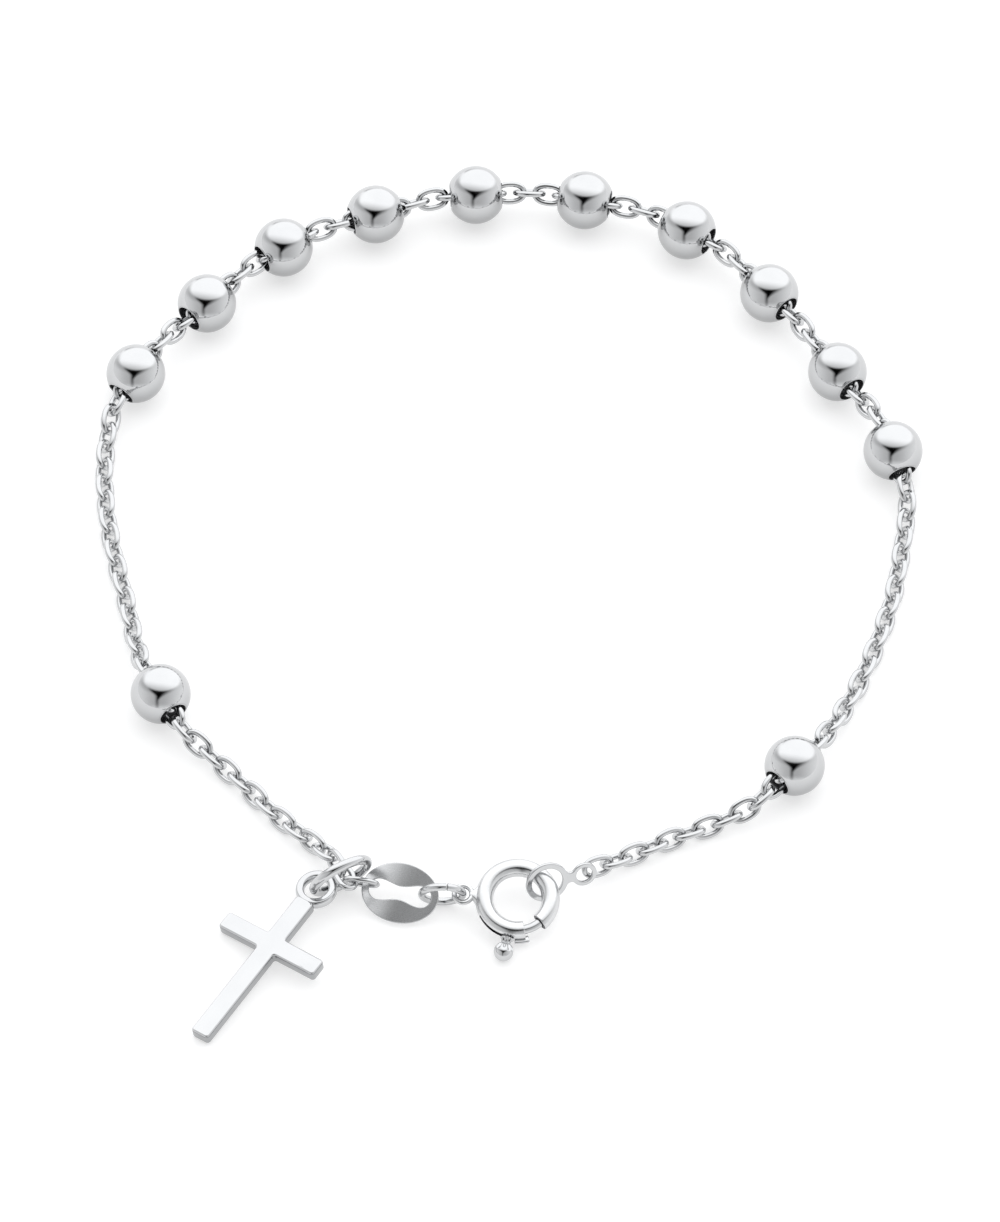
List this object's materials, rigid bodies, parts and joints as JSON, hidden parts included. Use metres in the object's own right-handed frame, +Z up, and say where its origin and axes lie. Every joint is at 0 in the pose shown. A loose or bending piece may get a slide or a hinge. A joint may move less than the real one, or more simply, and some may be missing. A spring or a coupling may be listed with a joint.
{
  "type": "rosary bracelet",
  "caption": "Closed loop of cable chain with hollow ball beads, a cross on a jump ring, an oval tag and a spring ring clasp, lying flat.",
  "frame": {"origin": "on the surface that the bracelet lies on, below the middle of its layout", "axes": "+Z up from that surface, +Y from the clasp towards the far side of the loop, +X to the right seen from the clasp's side"},
  "size_m": [0.0556, 0.0689, 0.0045],
  "materials": {
    "silver": "polished"
  },
  "bodies": {
    "bracelet": {"chain": "silver", "single_bead_left": "silver", "decade_bead_01": "silver", "decade_bead_02": "silver", "decade_bead_03": "silver", "decade_bead_04": "silver", "decade_bead_05": "silver", "decade_bead_06": "silver", "decade_bead_07": "silver", "decade_bead_08": "silver", "decade_bead_09": "silver", "decade_bead_10": "silver", "single_bead_right": "silver", "cross": "silver", "cross_ring": "silver", "tag_link": "silver", "tag": "silver", "tag_ring": "silver", "clasp_ring": "silver", "end_ring": "silver"},
    "clasp_bolt": {"clasp_bolt": "silver"}
  },
  "joints": [
    {"name": "bolt_turn", "type": "hinge", "parent": "bracelet", "child": "clasp_bolt", "pos_m": [0.00064, -0.02408, 0.00141], "axis": [0, 0.2079, -0.9781], "range_deg": [0, 44], "stiffness_Nm_per_rad": 0.001}
  ]
}
